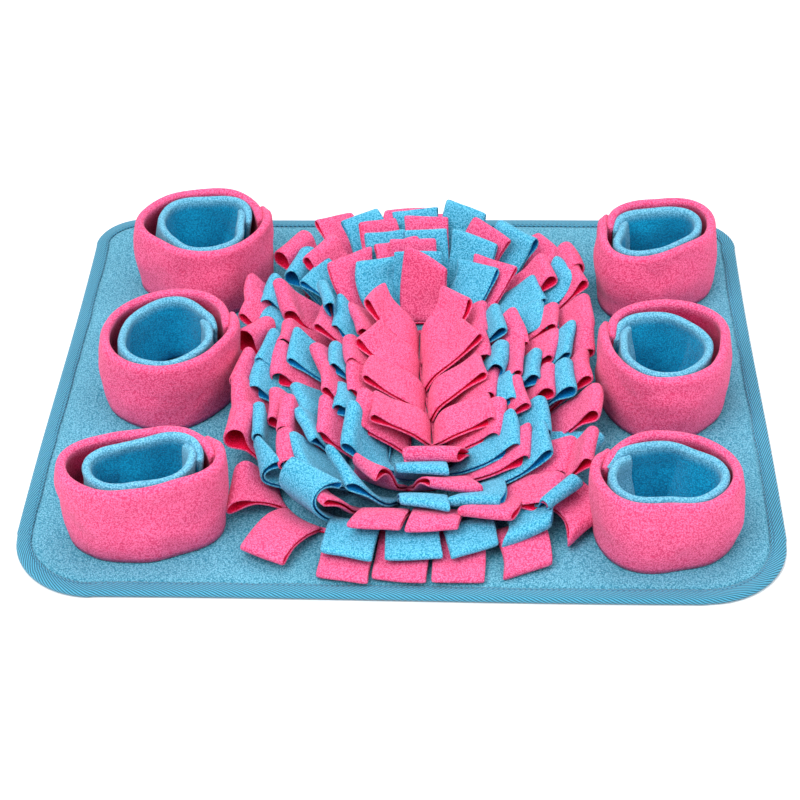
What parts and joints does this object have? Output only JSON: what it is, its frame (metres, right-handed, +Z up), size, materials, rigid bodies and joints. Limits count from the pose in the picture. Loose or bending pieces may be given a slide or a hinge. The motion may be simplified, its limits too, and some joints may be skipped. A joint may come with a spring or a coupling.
{
  "type": "snuffle mat",
  "caption": "Flat bound fleece mat with double-walled fleece cups down both sides and an oval pile of folded, slit loops between them.",
  "frame": {"origin": "middle of the mat's outline, on the face it rests on", "axes": "+Z up out of the mat, +X to the right along its long side, +Y to the back"},
  "size_m": [0.5024, 0.4324, 0.066],
  "materials": {
    "fleece_blue": "light blue brushed fleece",
    "fleece_pink": "pink brushed fleece",
    "tape_teal": "teal-blue twill binding tape"
  },
  "bodies": {
    "root": {"mat_panel": "fleece_blue", "edge_binding": "tape_teal", "cup_band_front_left": "fleece_pink", "cup_band_mid_left": "fleece_pink", "cup_band_back_left": "fleece_pink", "cup_band_front_right": "fleece_pink", "cup_band_mid_right": "fleece_pink", "cup_band_back_right": "fleece_pink", "cup_lining_front_left": "fleece_blue", "cup_lining_mid_left": "fleece_blue", "cup_lining_back_left": "fleece_blue", "cup_lining_front_right": "fleece_blue", "cup_lining_mid_right": "fleece_blue", "cup_lining_back_right": "fleece_blue", "loops_row_1": "fleece_pink", "loops_row_2": "fleece_blue", "loops_row_3": "fleece_pink", "loops_row_4": "fleece_blue", "loops_row_5": "fleece_pink", "loops_row_6": "fleece_blue", "loops_row_7": "fleece_pink", "loops_row_8": "fleece_pink"}
  },
  "joints": []
}
